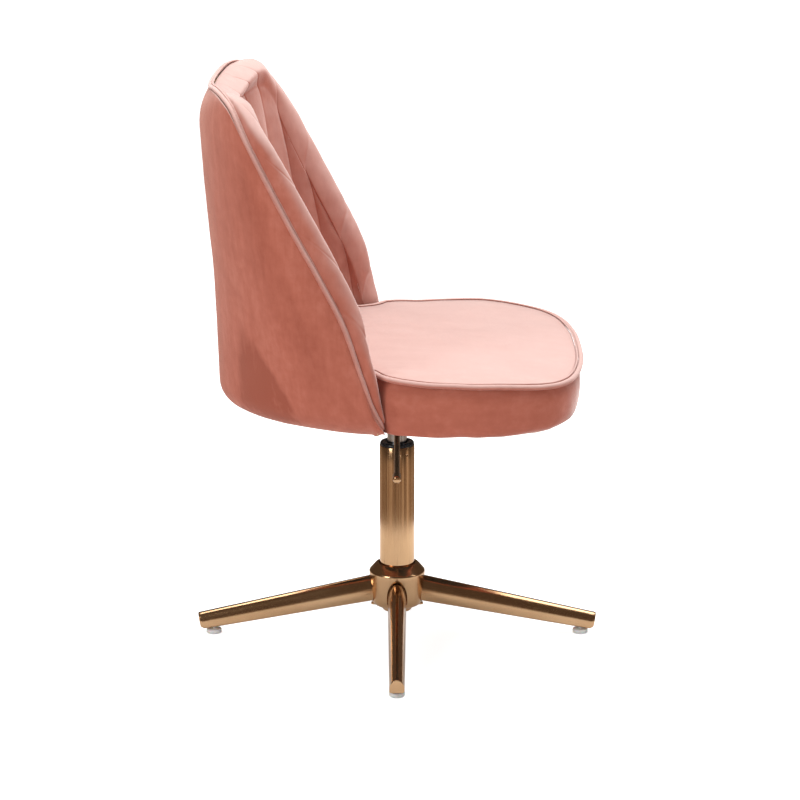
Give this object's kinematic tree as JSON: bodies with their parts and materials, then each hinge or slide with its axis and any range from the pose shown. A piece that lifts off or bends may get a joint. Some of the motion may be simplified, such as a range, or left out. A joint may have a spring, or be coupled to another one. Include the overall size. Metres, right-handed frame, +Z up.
{
  "type": "styling chair",
  "caption": "Swivel styling chair: wrap-round channelled velvet back, padded seat, gas lift with side lever, metal column and legged base on foot glides.",
  "frame": {"origin": "on the floor, on the axis of the column, midway between the feet", "axes": "+Z up along the column; the sitter faces -Y; the height lever is on -X, the sitter's right"},
  "size_m": [0.5764, 0.5764, 0.8158],
  "materials": {
    "velvet": "dusty-rose velvet with a soft nap",
    "brass": "brushed rose-gold brass plating",
    "ground_steel": "ground and satin",
    "zinc_steel": "zinc plated",
    "black_steel": "black powder coat",
    "black_plastic": "moulded",
    "rubber": "moulded",
    "milky_plastic": "translucent, satin",
    "plywood": "raw plywood",
    "dust_cloth": "black non-woven cloth"
  },
  "bodies": {
    "base": {"base_hub": "brass", "leg_front": "brass", "leg_right": "brass", "leg_rear": "brass", "leg_left": "brass", "leg_screw_front": "zinc_steel", "leg_screw_right": "zinc_steel", "leg_screw_rear": "zinc_steel", "leg_screw_left": "zinc_steel", "foot_glide_front": "milky_plastic", "foot_glide_right": "milky_plastic", "foot_glide_rear": "milky_plastic", "foot_glide_left": "milky_plastic", "column_tube": "brass", "guide_bush": "black_plastic", "bearing_washer": "zinc_steel", "thrust_bearing": "zinc_steel"},
    "rod": {"piston_rod": "ground_steel", "rubber_stop": "rubber", "rod_clip": "zinc_steel"},
    "chair": {"gas_cylinder": "ground_steel", "mounting_plate": "black_steel", "lever_pin": "zinc_steel", "plate_bolt_1": "zinc_steel", "plate_bolt_2": "zinc_steel", "plate_bolt_3": "zinc_steel", "plate_bolt_4": "zinc_steel", "tee_nut_1": "zinc_steel", "tee_nut_2": "zinc_steel", "tee_nut_3": "zinc_steel", "tee_nut_4": "zinc_steel", "seat_board": "plywood", "dust_cover": "dust_cloth", "seat_cushion": "velvet", "seat_piping": "velvet", "back_frame": "plywood", "back_bolt_1": "zinc_steel", "back_bolt_2": "zinc_steel", "back_bolt_3": "zinc_steel", "back_bolt_4": "zinc_steel", "back_cover": "velvet", "back_pad": "velvet", "back_piping": "velvet"},
    "lever": {"lift_lever": "brass", "lever_cap": "brass"},
    "valve": {"valve_pin": "zinc_steel"}
  },
  "joints": [
    {"name": "swivel", "type": "hinge", "parent": "base", "child": "rod", "pos_m": [0, 0, 0.063], "axis": [0, 0, 1], "continuous": true},
    {"name": "seat_lift", "type": "slide", "parent": "rod", "child": "chair", "axis": [0, 0, 1], "range_m": [0, 0.1]},
    {"name": "lever_pull", "type": "hinge", "parent": "chair", "child": "lever", "pos_m": [-0.03, 0, 0.3399], "axis": [0, 1, 0], "range_deg": [0, 4.8], "stiffness_Nm_per_rad": 1.5},
    {"name": "valve_press", "type": "slide", "parent": "chair", "child": "valve", "axis": [0, 0, -1], "range_m": [0, 0.0027]}
  ],
  "couplings": [
    {"joint": "valve_press", "follows": "lever_pull", "m_per_rad": 0.03}
  ]
}
